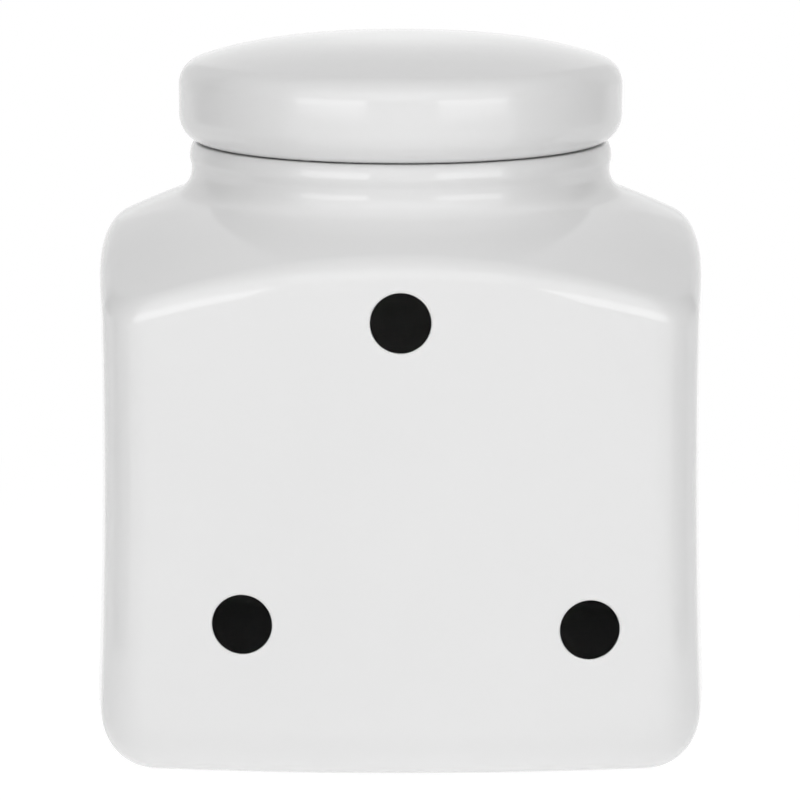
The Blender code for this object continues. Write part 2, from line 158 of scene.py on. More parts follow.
# Steps up the jar: its wall, shoulder and cove have more outside, and the wall's are closer near
# the foot
Steps = namedtuple("Steps", "wall fillet shoulder cove")
OUTSIDE_STEPS = Steps(44, 16, 20, 14)
INSIDE_STEPS = Steps(24, 8, 10, 8)
WALL_STEP_POWER = 1.25
FLOOR_STEPS = 6
RECESS_STEPS = 6
FOOT_STEPS = 20
FLOOR_FILLET_STEPS = 10
NECK_STEPS = 3
BEAD_STEPS = 8
LIP_STEPS = 14
LIP_INNER_STEPS = 8
BORE_STEPS = 4
EDGE_PASSES = 20

# Steps of the vents: round each one, and over its lips
VENT_STEPS = 72
VENT_OUTER_STEPS = 8
VENT_INNER_STEPS = 7

# Steps of lid and seal: round the axis, and along the profiles
TURN_STEPS = 240
DOME_STEPS = 25
CROWN_STEPS = 14
LOWER_ROUND_STEPS = 18
FLANGE_ROUND_STEPS = 6
CAVITY_DOME_STEPS = 11
CAVITY_CROWN_STEPS = 8
CAVITY_FLARE_STEPS = 10
FIN_ROOT_STEPS = 3
FIN_TIP_STEPS = 6

# Points no further apart than SAME_POINT are one point. Each vertex stands for LEAST_AREA and
# its share of the faces, so that no curvature is divided by nothing.
SAME_POINT = 1e-6
LEAST_AREA = 1e-12

# The two skins of the jar
Skin = namedtuple("Skin", "inset corner_radius fillet cove neck_radius steps")
OUTSIDE = Skin(0, CORNER_RADIUS, SHOULDER_FILLET, NECK_COVE, NECK_RADIUS, OUTSIDE_STEPS)
INSIDE = Skin(WALL, INNER_CORNER_RADIUS, INNER_SHOULDER_FILLET, INNER_NECK_ROUND, BORE_RADIUS,
              INSIDE_STEPS)

# Where the wall curves, as a parabola in height through the base, waist and top
WAIST_HEIGHT = FOOT_ROUND_HEIGHT + WAIST_RISE
TOP_HEIGHT = WAIST_HEIGHT + TOP_RISE
FLOOR_HEIGHT = RECESS_DEPTH + FLOOR_THICKNESS
SHOULDER_HEIGHT = JAR_HIGH.z - NECK_HEIGHT
WALL_CURVE = np.polyfit((FOOT_ROUND_HEIGHT, WAIST_HEIGHT, TOP_HEIGHT),
                        (BASE_WIDTH / 2, WAIST_WIDTH / 2, TOP_WIDTH / 2), 2)
WALL_LEAN = -np.polyval(np.polyder(WALL_CURVE), FOOT_ROUND_HEIGHT)

# Slots of the jar's and the lid's meshes
GLAZED, LINED, BARE, CUT = range(4)


def shares_between(steps):
    """The shares between 0 and 1 that part a run into equal steps, without its ends."""
    return np.linspace(0, 1, steps + 1)[1:-1]


def smooth(share):
    """The share of a run that starts and ends softly."""
    return share ** 2 * (3 - 2 * share)


def conic(start, corner, end, steps):
    """Points of the arc that leaves start and reaches end along the lines through corner."""
    start, corner, end = (np.asarray(point, dtype=float) for point in (start, corner, end))
    first = corner - start
    second = end - corner
    lengths = np.sqrt((first ** 2).sum(axis=0) * (second ** 2).sum(axis=0))
    turn = np.arccos(np.clip((first * second).sum(axis=0) / lengths, -1, 1))
    weight = np.cos(turn / 2)
    points = []
    for share in np.linspace(0, 1, steps + 1):
        near, middle, far = (1 - share) ** 2, 2 * weight * share * (1 - share), share ** 2
        points.append((near * start + middle * corner + far * end) / (near + middle + far))
    return points


def profile_conic(start, corner, end, steps):
    """The same arc between single points, as (radius, height) pairs."""
    return [tuple(point) for point in conic(start, corner, end, steps)]


def ellipse_arc(centre, radii, first, last, steps):
    """Points (radius, height) of an ellipse's arc between two angles."""
    angles = np.linspace(first, last, steps + 1)
    return [(centre[0] + radii[0] * math.cos(angle), centre[1] + radii[1] * math.sin(angle))
            for angle in angles]


def without_repeats(profile):
    """The profile without points on the one before, which would make faces of no area."""
    kept = profile[:1]
    for point in profile[1:]:
        if math.dist(point, kept[-1]) > SAME_POINT:
            kept.append(point)
    return kept


def half_width(height):
    """Half the width across the faces, which leaves the foot upright and then leans in."""
    above = np.maximum(height - FOOT_ROUND_HEIGHT, 0)
    return np.polyval(WALL_CURVE, height) + WALL_LEAN * above * np.exp(-above / FOOT_BLEND)


def corner_centre(half, radius):
    """Distance of a corner's centre from both axes, where its arc meets the bowed faces."""
    bow_centre = FACE_BOW_RADIUS - half
    reach = FACE_BOW_RADIUS - radius
    return (np.sqrt(2 * reach ** 2 - bow_centre ** 2) - bow_centre) / 2


def bowed_square(half, radius):
    """Plan of the jar at every station: four bowed faces with round corners."""
    stations = np.arange(STATIONS)
    half = np.broadcast_to(half, stations.shape)
    radius = np.broadcast_to(radius, stations.shape)
    centre = corner_centre(half, radius)
    tangent = np.arcsin(centre / (FACE_BOW_RADIUS - radius))
    step = stations % QUARTER_STEPS
    face_angle = tangent * (2 * step / FACE_STEPS - 1)
    corner_angle = tangent + (math.pi / 2 - 2 * tangent) * (step - FACE_STEPS) / CORNER_STEPS
    on_face = step < FACE_STEPS
    x = np.where(on_face, FACE_BOW_RADIUS * np.sin(face_angle),
                 centre + radius * np.sin(corner_angle))
    y = np.where(on_face, FACE_BOW_RADIUS - half - FACE_BOW_RADIUS * np.cos(face_angle),
                 -centre - radius * np.cos(corner_angle))
    turn = stations // QUARTER_STEPS * math.pi / 2
    return x * np.cos(turn) - y * np.sin(turn), x * np.sin(turn) + y * np.cos(turn)


def even_azimuths():
    """Azimuths of the stations round the neck, from -Y towards +X, with equal steps."""
    return (np.arange(STATIONS) - FACE_STEPS / 2) * math.pi / 2 / QUARTER_STEPS


def turned_ring(radius, azimuth, height):
    """Ring of points from radius, azimuth and height at each station."""
    radius, azimuth, height = np.broadcast_arrays(radius, azimuth, height)
    return np.column_stack((radius * np.sin(azimuth), -radius * np.cos(azimuth), height))


def lid_rings(profile):
    """Rings of a (radius, height) profile, measured from the lid's seat, about the axis."""
    azimuths = np.arange(TURN_STEPS) * 2 * math.pi / TURN_STEPS
    return [turned_ring(radius, azimuths, LID_SEAT + height) for radius, height in profile]


def plan_ring(half, radius, height):
    """Ring of points that follows the bowed square."""
    x, y = bowed_square(half, radius)
    return np.column_stack(np.broadcast_arrays(x, y, height))


def corner_reach():
    """Distance of the outer corners from the axis, at the waist."""
    return math.sqrt(2) * corner_centre(WAIST_WIDTH / 2, CORNER_RADIUS) + CORNER_RADIUS


def shoulder_slope(radius):
    """Fall of the outer shoulder for each metre outwards."""
    share = (radius - NECK_RADIUS) / (corner_reach() - NECK_RADIUS)
    return math.tan(NECK_SLOPE) + (math.tan(CORNER_SLOPE) - math.tan(NECK_SLOPE)) * share


def shoulder_height(skin, radius):
    """Height of the shoulder on one skin, which is offset square to the slope."""
    fall = (radius - NECK_RADIUS) * (math.tan(NECK_SLOPE) + shoulder_slope(radius)) / 2
    return SHOULDER_HEIGHT - fall - skin.inset * np.sqrt(1 + shoulder_slope(radius) ** 2)


def wall_radius(skin, height):
    """Distance of the wall from the axis at every station."""
    return np.hypot(*bowed_square(half_width(height) - skin.inset, skin.corner_radius))


def shoulder_edge(skin):
    """Radius and height at every station where wall and shoulder would meet unrounded."""
    height = np.full(STATIONS, TOP_HEIGHT)
    for _ in range(EDGE_PASSES):
        height = shoulder_height(skin, wall_radius(skin, height))
    return wall_radius(skin, height), height


def shoulder_rings(skin):
    """Rings of one skin from the top of its wall, over fillet and shoulder, to its neck."""
    edge_radius, edge_height = shoulder_edge(skin)
    slope = np.arctan(shoulder_slope(edge_radius))
    reach = skin.fillet * np.tan(math.pi / 4 - slope / 2)
    low = edge_height - reach
    low_radius = wall_radius(skin, low)
    high_radius = edge_radius - reach * np.cos(slope)
    high = shoulder_height(skin, high_radius)
    fall = shoulder_slope(high_radius)
    lean = (edge_radius - low_radius) / reach
    rise = (high + fall * (high_radius - low_radius) - low) / (1 + fall * lean)
    x, y = bowed_square(half_width(low) - skin.inset, skin.corner_radius)
    azimuth = np.arctan2(x, -y)
    azimuth = np.where(azimuth < even_azimuths() - math.pi, azimuth + 2 * math.pi, azimuth)
    fillet = conic((low_radius, low), (low_radius + lean * rise, low + rise),
                   (high_radius, high), skin.steps.fillet)
    rings = [turned_ring(radius, azimuth, height) for radius, height in fillet]
    neck = skin.neck_radius
    neck_slope = math.atan(float(shoulder_slope(neck)))
    cove_reach = skin.cove * math.tan(math.pi / 4 - neck_slope / 2)
    cove_radius = neck + cove_reach * math.cos(neck_slope)
    for share in shares_between(skin.steps.shoulder):
        radius = high_radius + (cove_radius - high_radius) * share
        turned = azimuth + (even_azimuths() - azimuth) * smooth(share)
        rings.append(turned_ring(radius, turned, shoulder_height(skin, radius)))
    cove_height = float(shoulder_height(skin, cove_radius))
    cove_corner = cove_height + float(shoulder_slope(cove_radius)) * (cove_radius - neck)
    cove = conic((cove_radius, cove_height), (neck, cove_corner),
                 (neck, cove_corner + cove_reach), skin.steps.cove)
    return rings + [turned_ring(radius, even_azimuths(), height) for radius, height in cove]


def wall_rings(skin, bottom, top):
    """Rings of one skin's wall between a level bottom and the top at each station."""
    rings = []
    for share in shares_between(skin.steps.wall) ** WALL_STEP_POWER:
        height = bottom + (top - bottom) * share
        rings.append(plan_ring(half_width(height) - skin.inset, skin.corner_radius, height))
    return rings


def foot_rings():
    """Rings of the recess, the foot ring and the round up to the outer wall."""
    base = half_width(FOOT_ROUND_HEIGHT)
    ring_inside = base - FOOT_INSET - FOOT_RING_WIDTH
    rings = []
    for share in shares_between(FLOOR_STEPS):
        rings.append(plan_ring((ring_inside - RECESS_RUN) * share, RECESS_CORNER_RADIUS * share,
                               RECESS_DEPTH))
    recess = conic((ring_inside - RECESS_RUN, RECESS_DEPTH),
                   (ring_inside - RECESS_RUN / 2, RECESS_DEPTH), (ring_inside, 0), RECESS_STEPS)
    for half, height in recess:
        rings.append(plan_ring(half, RECESS_CORNER_RADIUS, height))
    for half, height in ellipse_arc((base - FOOT_INSET, FOOT_ROUND_HEIGHT),
                                    (FOOT_INSET, FOOT_ROUND_HEIGHT), -math.pi / 2, 0, FOOT_STEPS):
        share = (base - half) / FOOT_INSET
        radius = CORNER_RADIUS + (FOOT_CORNER_RADIUS - CORNER_RADIUS) * share
        rings.append(plan_ring(half, radius, height))
    return rings


def lip_rings(outer_top, inner_top):
    """Rings of the neck between its cove and the bore: a slight bead and a rounded lip."""
    bead_low = LIP_HEIGHT - LIP_BEAD_HEIGHT
    bead_high = LIP_HEIGHT - LIP_ROUND_HEIGHT
    profile = [(NECK_RADIUS, outer_top + (bead_low - outer_top) * share)
               for share in shares_between(NECK_STEPS)]
    for share in np.linspace(0, 1, BEAD_STEPS + 1)[:-1]:
        profile.append((NECK_RADIUS + LIP_BEAD * smooth(share),
                        bead_low + (bead_high - bead_low) * share))
    profile += ellipse_arc((NECK_RADIUS + LIP_BEAD - LIP_ROUND_WIDTH, bead_high),
                           (LIP_ROUND_WIDTH, LIP_ROUND_HEIGHT), 0, math.pi / 2, LIP_STEPS)
    low = LIP_HEIGHT - LIP_INNER_ROUND
    profile += ellipse_arc((BORE_RADIUS + LIP_INNER_ROUND, low),
                           (LIP_INNER_ROUND, LIP_INNER_ROUND), math.pi / 2, math.pi,
                           LIP_INNER_STEPS)
    profile += [(BORE_RADIUS, low + (inner_top - low) * share)
                for share in shares_between(BORE_STEPS)]
    return [turned_ring(radius, even_azimuths(), height) for radius, height in profile]


def inner_floor_rings():
    """Rings of the floor inside and of its fillet to the inner wall, from the middle out."""
    wall = half_width(FLOOR_HEIGHT + FLOOR_FILLET) - WALL
    rings = []
    for share in shares_between(FLOOR_STEPS):
        rings.append(plan_ring((wall - FLOOR_FILLET) * share, INNER_CORNER_RADIUS * share,
                               FLOOR_HEIGHT))
    for half, height in ellipse_arc((wall - FLOOR_FILLET, FLOOR_HEIGHT + FLOOR_FILLET),
                                    (FLOOR_FILLET, FLOOR_FILLET), -math.pi / 2, 0,
                                    FLOOR_FILLET_STEPS):
        rings.append(plan_ring(half, INNER_CORNER_RADIUS, height))
    return rings


@contextmanager
def edited(mesh):
    """The mesh as a bmesh, whose changes go back into it at the end."""
    shape = bmesh.new()
    shape.from_mesh(mesh)
    yield shape
    shape.to_mesh(mesh)
    shape.free()


def mesh_object(name, rings, slots, ends=None):
    """Object through rings of equal stations, with one slot for each band between rings.

    It ends in fans to two points, or without them its last ring joins its first.
    """
    rings = np.array(rings)
    count, around = rings.shape[:2]
    points = rings.reshape(-1, 3).tolist()
    rows = np.arange(count * around).reshape(count, around)
    if ends is None:
        rows = np.vstack((rows, rows[:1]))
    low, high = rows[:-1], rows[1:]
    bands = np.stack((low, np.roll(low, -1, axis=1), np.roll(high, -1, axis=1), high), axis=-1)
    faces = bands.reshape(-1, 4).tolist()
    face_slots = np.repeat(slots, around).tolist()
    if ends is not None:
        points += [tuple(end) for end in ends]
        first, last = len(points) - 2, len(points) - 1
        for start, after in zip(rows[0], np.roll(rows[0], -1)):
            faces.append((int(after), int(start), first))
        for start, after in zip(rows[-1], np.roll(rows[-1], -1)):
            faces.append((int(start), int(after), last))
        face_slots += [slots[0]] * around + [slots[-1]] * around
    mesh = bpy.data.meshes.new(name)
    mesh.from_pydata(points, [], faces)
    mesh.polygons.foreach_set("material_index", face_slots)
    mesh.update()
    with edited(mesh) as shape:
        bmesh.ops.recalc_face_normals(shape, faces=shape.faces)
    mesh.shade_smooth()
    made = bpy.data.objects.new(name, mesh)
    bpy.context.scene.collection.objects.link(made)
    return made


def face_point(x, height):
    """Point of the front face and the direction square to it."""
    across = math.sqrt(FACE_BOW_RADIUS ** 2 - x ** 2)
    y = FACE_BOW_RADIUS - float(half_width(height)) - across
    growth = float(np.polyval(np.polyder(WALL_CURVE), height))
    return Vector((x, y, height)), Vector((x / across, -1, -growth)).normalized()


def vent_profile():
    """(radius, inwards, depth) of each ring of a vent's cutter.

    The depth is under the face, outside where inwards is 0 and inside where it is 1. The lips
    start a little above the face at a low angle, so that they run out into the face on a clean
    line. Behind the outer lip the vent widens inwards.
    """
    lip = VENT_LIP
    turns = np.linspace(RIM_ANGLE, math.pi / 2 + VENT_FLARE, VENT_OUTER_STEPS + 1)
    outer = [(VENT_RADIUS + lip - lip * math.sin(turn), 0, lip - lip * math.cos(turn))
             for turn in turns]
    outer.insert(0, (outer[0][0] + RIM_FLARE, 0, outer[0][2] - RIM_FLARE * math.tan(RIM_ANGLE)))
    run = WALL - lip + lip * math.sin(VENT_FLARE) - outer[-1][2]
    centre = outer[-1][0] + run * math.tan(VENT_FLARE) + lip * math.cos(VENT_FLARE)
    turns = np.linspace(math.pi / 2 - VENT_FLARE, RIM_ANGLE, VENT_INNER_STEPS + 1)
    inner = [(centre - lip * math.sin(turn), 1, lip * math.cos(turn) - lip) for turn in turns]
    inner.append((inner[-1][0] + RIM_FLARE, 1, inner[-1][2] + RIM_FLARE * math.tan(RIM_ANGLE)))
    return [(outer[0][0], 0, -CUT_OVERRUN), *outer, *inner, (inner[-1][0], 1, CUT_OVERRUN)]


def vent_cutter(offset, height):
    """Closed solid that cuts one vent, with rings that follow both sides of the front wall."""
    centre, outwards = face_point(offset, height)
    across = Vector((-outwards.y, outwards.x, 0)).normalized()
    upwards = outwards.cross(across)
    if upwards.z < 0:
        upwards = -upwards
    # Half a step round keeps the points of the upper vent off the jar's own points at x 0
    angles = (np.arange(VENT_STEPS) + 0.5) * 2 * math.pi / VENT_STEPS
    rings = []
    for radius, inwards, depth in vent_profile():
        ring = []
        for angle in angles:
            spot = (centre + across * (radius * math.cos(angle))
                    + upwards * (radius * math.sin(angle)))
            point, _ = face_point(spot.x, spot.z)
            point.y += WALL * inwards
            ring.append(point - outwards * depth)
        rings.append(ring)
    ends = (sum(rings[0], Vector()) / VENT_STEPS, sum(rings[-1], Vector()) / VENT_STEPS)
    return mesh_object("vent_cutter", rings, [0] * (len(rings) - 1), ends)


def apply_cuts(piece, cutters):
    """Cut the solids out of the piece, keep the result as its mesh and remove them."""
    for cutter in cutters:
        cut = piece.modifiers.new("cut", "BOOLEAN")
        cut.operation = "DIFFERENCE"
        cut.solver = "EXACT"
        cut.object = cutter
        cut.material_mode = "TRANSFER"
    depsgraph = bpy.context.evaluated_depsgraph_get()
    mesh = bpy.data.meshes.new_from_object(piece.evaluated_get(depsgraph))
    piece.modifiers.clear()
    piece.data = mesh
    with edited(mesh) as shape:
        bmesh.ops.remove_doubles(shape, verts=shape.verts, dist=SAME_POINT)
    for cutter in cutters:
        bpy.data.objects.remove(cutter, do_unlink=True)


def sharpen_between(piece, slot):
    """Keep the shading apart where faces of a slot meet the others."""
    with edited(piece.data) as shape:
        for edge in shape.edges:
            slots = {face.material_index for face in edge.link_faces}
            if slot in slots and len(slots) > 1:
                edge.smooth = False


def give_bulge(piece):
    """Store the mean curvature of each point, where a fired glaze runs thin, as an attribute.

    An edge's curvature is half its bend along its length, and each of its ends takes half.
    """
    shape = bmesh.new()
    shape.from_mesh(piece.data)
    bulge = np.zeros(len(shape.verts))
    area = np.full(len(shape.verts), LEAST_AREA)
    for face in shape.faces:
        part = face.calc_area() / len(face.verts)
        for vert in face.verts:
            area[vert.index] += part
    for edge in shape.edges:
        bend = edge.calc_face_angle_signed(0) * edge.calc_length() / 4
        for vert in edge.verts:
            bulge[vert.index] += bend
    shape.free()
    attribute = piece.data.attributes.new("bulge", "FLOAT", "POINT")
    attribute.data.foreach_set("value", (bulge / area).astype(np.float32))


def finish_piece(piece, materials, body, slot, *nodes):
    """Give a piece its materials and body, and hide the parts of the nodes that it stands for;
    its slot is not used.
    """
    piece.data.materials.clear()
    for material in materials:
        piece.data.materials.append(material)
    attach(piece, body)
    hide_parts(*nodes)


def make_jar(materials):
    """The jar: a loft over foot, walls, shoulder and neck to the floor inside, and its vents."""
    shoulder = shoulder_rings(OUTSIDE)
    wall = wall_rings(OUTSIDE, FOOT_ROUND_HEIGHT, shoulder[0][:, 2])
    inner_shoulder = shoulder_rings(INSIDE)
    inner_wall = wall_rings(INSIDE, FLOOR_HEIGHT + FLOOR_FILLET, inner_shoulder[0][:, 2])
    lip = lip_rings(shoulder[-1][0, 2], inner_shoulder[-1][0, 2])
    outside = foot_rings() + wall + shoulder + lip
    inside = inner_floor_rings() + inner_wall + inner_shoulder
    slots = [GLAZED] * (len(outside) - 1) + [LINED] * len(inside)
    for band, (low, high) in enumerate(zip(outside, outside[1:])):
        if max(low[:, 2].max(), high[:, 2].max()) < BARE_HEIGHT:
            slots[band] = BARE
    jar = mesh_object("canister_jar", outside + inside[::-1], slots,
                      ((0, 0, RECESS_DEPTH), (0, 0, FLOOR_HEIGHT)))
    # The cut faces find their slot among the jar's materials
    for material in materials:
        jar.data.materials.append(material)
    _, edge_height = shoulder_edge(OUTSIDE)
    upper = float(edge_height[FACE_STEPS // 2]) - UPPER_VENT_DROP
    cutters = [vent_cutter(0, upper), vent_cutter(-LEFT_VENT_OFFSET, LEFT_VENT_HEIGHT),
               vent_cutter(RIGHT_VENT_OFFSET, RIGHT_VENT_HEIGHT)]
    for cutter in cutters:
        cutter.data.materials.append(materials[CUT])
    apply_cuts(jar, cutters)
    sharpen_between(jar, CUT)
    give_bulge(jar)
    finish_piece(jar, materials, "jar", "jar_glaze", "jar_body")


def dome_height(radius, crown):
    """Height of a dome that is flat in the middle and falls faster towards the rim."""
    return crown - DOME_DROP * (radius / LID_RADIUS) ** DOME_POWER


def dome_profile(rim, crown, rounding, dome_steps, round_steps):
    """Dome from near the axis out to the rim, and the round that turns it down into the side."""
    start = rim - rounding
    points = [(start * share, dome_height(start * share, crown))
              for share in shares_between(dome_steps)]
    height = dome_height(start, crown)
    fall = DOME_DROP * DOME_POWER / LID_RADIUS * (start / LID_RADIUS) ** (DOME_POWER - 1)
    corner = height - fall * (rim - start)
    reach = math.hypot(rim - start, height - corner)
    return points + profile_conic((start, height), (rim, corner), (rim, corner - reach),
                                  round_steps)


def flange_profile():
    """Outside of the flange from the seat down to its tip, with the groove for the seal."""
    groove_end = -GROOVE_DROP - GROOVE_HEIGHT
    edge = FLANGE_EDGE
    profile = [(FLANGE_RADIUS + edge, 0), (FLANGE_RADIUS, -edge)]
    profile += [(FLANGE_RADIUS, -GROOVE_DROP + edge), (FLANGE_RADIUS - edge, -GROOVE_DROP)]
    profile += [(GROOVE_RADIUS, -GROOVE_DROP), (GROOVE_RADIUS, groove_end)]
    profile += [(FLANGE_RADIUS - edge, groove_end), (FLANGE_RADIUS, groove_end - edge)]
    return profile + ellipse_arc((FLANGE_RADIUS - FLANGE_ROUND, FLANGE_ROUND - FLANGE_DEPTH),
                                 (FLANGE_ROUND, FLANGE_ROUND), 0, -math.pi / 2,
                                 FLANGE_ROUND_STEPS)


def cavity_profile():
    """Inside of the lid from the flange's tip, up the flare and over the hollow to the axis."""
    tip = ellipse_arc((FLANGE_INNER_RADIUS + FLANGE_ROUND, FLANGE_ROUND - FLANGE_DEPTH),
                      (FLANGE_ROUND, FLANGE_ROUND), -math.pi / 2, -math.pi, FLANGE_ROUND_STEPS)
    crown = dome_profile(LID_RADIUS - LID_WALL, LID_THICKNESS - LID_WALL, CAVITY_CROWN_ROUND,
                         CAVITY_DOME_STEPS, CAVITY_CROWN_STEPS)
    flare = profile_conic((FLANGE_INNER_RADIUS, 0), (FLANGE_INNER_RADIUS, CAVITY_FLARE),
                          crown[-1], CAVITY_FLARE_STEPS)
    return tip + flare[:-1] + crown[::-1]


def make_lid(materials):
    """The lid: dome, side, seat and plug flange, and the hollow inside."""
    outside = dome_profile(LID_RADIUS, LID_THICKNESS, CROWN_ROUND, DOME_STEPS, CROWN_STEPS)
    outside += ellipse_arc((LID_RADIUS - LOWER_ROUND_WIDTH, LOWER_ROUND_HEIGHT),
                           (LOWER_ROUND_WIDTH, LOWER_ROUND_HEIGHT), 0, -math.pi / 2,
                           LOWER_ROUND_STEPS)
    outside += flange_profile()
    inside = cavity_profile()
    slots = [GLAZED] * (len(outside) - 1) + [BARE] + [LINED] * (len(inside) - 1)
    ends = ((0, 0, LID_SEAT + LID_THICKNESS), (0, 0, LID_SEAT + LID_THICKNESS - LID_WALL))
    lid = mesh_object("canister_lid", lid_rings(outside + inside), slots, ends)
    lid.data.set_sharp_from_angle(angle=LID_SHARP_ANGLE)
    give_bulge(lid)
    finish_piece(lid, materials, "lid", "lid_glaze", "lid")


def make_seal(material):
    """The seal: a band that sits in the lid's groove, with fins that reach for the bore."""
    inner = GROOVE_RADIUS + TOUCH_GAP
    band = inner + SEAL_BAND
    root = band + SEAL_FIN_ROOT / 2
    top = -GROOVE_DROP - TOUCH_GAP
    height = GROOVE_HEIGHT - 2 * TOUCH_GAP
    profile = [(inner, top), (band, top)]
    for fin in range(SEAL_FINS):
        middle = top - height * (fin + 0.5) / SEAL_FINS
        profile += profile_conic((band, middle + SEAL_FIN_ROOT),
                                 (band, middle + SEAL_FIN_ROOT / 2),
                                 (root, middle + SEAL_FIN_ROOT / 2 + SEAL_ROOT_LIFT),
                                 FIN_ROOT_STEPS)
        profile += ellipse_arc((SEAL_HIGH.x - SEAL_FIN_TIP / 2, middle + SEAL_FIN_LIFT),
                               (SEAL_FIN_TIP / 2, SEAL_FIN_TIP / 2), math.pi / 2, -math.pi / 2,
                               FIN_TIP_STEPS)
        profile += profile_conic((root, middle - SEAL_FIN_ROOT / 2 + SEAL_ROOT_LIFT),
                                 (band, middle - SEAL_FIN_ROOT / 2),
                                 (band, middle - SEAL_FIN_ROOT), FIN_ROOT_STEPS)
    profile += [(band, top - height), (inner, top - height)]
    rings = lid_rings(without_repeats(profile))
    seal = mesh_object("canister_seal", rings, [0] * len(rings))
    seal.data.set_sharp_from_angle(angle=SEAL_SHARP_ANGLE)
    finish_piece(seal, [material], "lid", "seal_silicone", "lid_seal")


# Glazes: colour, colour where they run thin, roughness, and strength of the ripple
Glaze = namedtuple("Glaze", "colour thin_colour roughness ripple")
WHITE_GLAZE = Glaze((0.80, 0.80, 0.80), (0.77, 0.768, 0.765), 0.06, 0.08)
# The liner's dark grey is painted shade for the hollow inside jar and lid; its higher roughness
# is the liner's own.
LINER_GLAZE_WITH_PAINTED_SHADE = Glaze((0.44, 0.44, 0.43), (0.42, 0.41, 0.40), 0.20, 0.12)
# The vents' darker grey is painted shade in their bores; their higher roughness is the glaze's
# own.
VENT_GLAZE_WITH_PAINTED_SHADE = Glaze((0.72, 0.72, 0.71), (0.70, 0.69, 0.67), 0.12, 0.08)
GLAZE_IOR = 1.5
THIN_BULGES = (100.0, 900.0)
THIN_SHARES = (0.0, 0.5)
CLOUD_TONES = (0.985, 1.0)
ROUGHNESS_SPREAD = (0.85, 1.15)
PEEL_SHARE = 0.12
RIPPLE_HEIGHT = 0.0002

# Bare clay and silicone
CLAY_COLOUR = (0.74, 0.72, 0.68)
CLAY_TONES = (0.92, 1.0)
CLAY_ROUGHNESS = 0.85
CLAY_BUMP = 0.35
CLAY_GRAIN_HEIGHT = 0.0001
SILICONE_COLOUR = (0.74, 0.74, 0.72)
SILICONE_TONES = (0.95, 1.0)
SILICONE_ROUGHNESS = (0.38, 0.52)
SILICONE_SCATTER = 0.3
SILICONE_REACH = (0.003, 0.003, 0.003)

# Noises: features for each metre, and levels of detail. Their values keep mostly to the spans.
Noise = namedtuple("Noise", "scale detail")
GLAZE_CLOUDS = Noise(14.0, 2.0)
GLAZE_SPECKS = Noise(420.0, 3.0)
GLAZE_WAVES = Noise(55.0, 1.5)
GLAZE_PEEL = Noise(380.0, 1.0)
CLAY_GRAIN = Noise(1800.0, 4.0)
CLAY_STAINS = Noise(90.0, 3.0)
SILICONE_HAZE = Noise(260.0, 3.0)
CLOUD_SPAN = (0.35, 0.65)
NOISE_SPAN = (0.3, 0.7)


class Nodes:
    """Helper that adds nodes to a tree and links them; most calls return the node's output."""

    def __init__(self, tree):
        self.tree = tree

    def feed(self, node, **inputs):
        """Set or link inputs of a node; their names have _ for a space, or _ and a number."""
        for key, value in inputs.items():
            name = int(key[1:]) if key[1:].isdigit() else key.replace("_", " ")
            if isinstance(value, bpy.types.NodeSocket):
                self.tree.links.new(value, node.inputs[name])
            else:
                node.inputs[name].default_value = value

    def add(self, kind, settings=None, **inputs):
        """Add a node with settings and inputs, and return its outputs."""
        node = self.tree.nodes.new(kind)
        for key, value in (settings or {}).items():
            setattr(node, key, value)
        self.feed(node, **inputs)
        return node.outputs

    def place(self):
        """Place on the object."""
        return self.add("ShaderNodeTexCoord")["Object"]

    def noise(self, kind):
        """Value of a noise at each place on the object."""
        return self.add("ShaderNodeTexNoise", Vector=self.place(), Scale=kind.scale,
                        Detail=kind.detail)["Fac"]

    def remap(self, value, source, target, interpolation="LINEAR"):
        """The value moved from one span to another, and kept in it."""
        return self.add("ShaderNodeMapRange", {"interpolation_type": interpolation}, Value=value,
                        _1=source[0], _2=source[1], _3=target[0], _4=target[1])["Result"]

    def largest(self, first, second):
        """The larger of two values."""
        return self.add("ShaderNodeMath", {"operation": "MAXIMUM"}, _0=first, _1=second)["Value"]

    def toned(self, colour, tone):
        """The colour made darker by a tone below 1."""
        return self.add("ShaderNodeVectorMath", {"operation": "SCALE"}, _0=colour,
                        Scale=tone)["Vector"]

    def bump(self, height, strength, distance):
        """Direction of the surface with small heights on it."""
        return self.add("ShaderNodeBump", Strength=strength, Distance=distance,
                        Height=height)["Normal"]

    def diffuse(self, albedo):
        """Matt grey."""
        return self.add("ShaderNodeBsdfDiffuse", Color=(albedo, albedo, albedo, 1))["BSDF"]

    def emission(self, strength):
        """Plain light."""
        return self.add("ShaderNodeEmission", Color=(1, 1, 1, 1), Strength=strength)["Emission"]

    def background(self, strength):
        """Plain light from the world."""
        return self.add("ShaderNodeBackground", Color=(1, 1, 1, 1),
                        Strength=strength)["Background"]

    def sum(self, first, second):
        """Two shaders on top of each other."""
        return self.add("ShaderNodeAddShader", _0=first, _1=second)["Shader"]

    def mix(self, share, first, second):
        """Blend of two shaders."""
        return self.add("ShaderNodeMixShader", Fac=share, _1=first, _2=second)["Shader"]


def surface_material(name):
    """Material with a Principled shader, the helper that adds its nodes, and the shader."""
    material = bpy.data.materials.new(name)
    material.use_nodes = True
    return material, Nodes(material.node_tree), material.node_tree.nodes["Principled BSDF"]


def blank_material(name):
    """Material without nodes, and the helper that adds them."""
    material = bpy.data.materials.new(name)
    material.use_nodes = True
    material.node_tree.nodes.clear()
    return material, Nodes(material.node_tree)


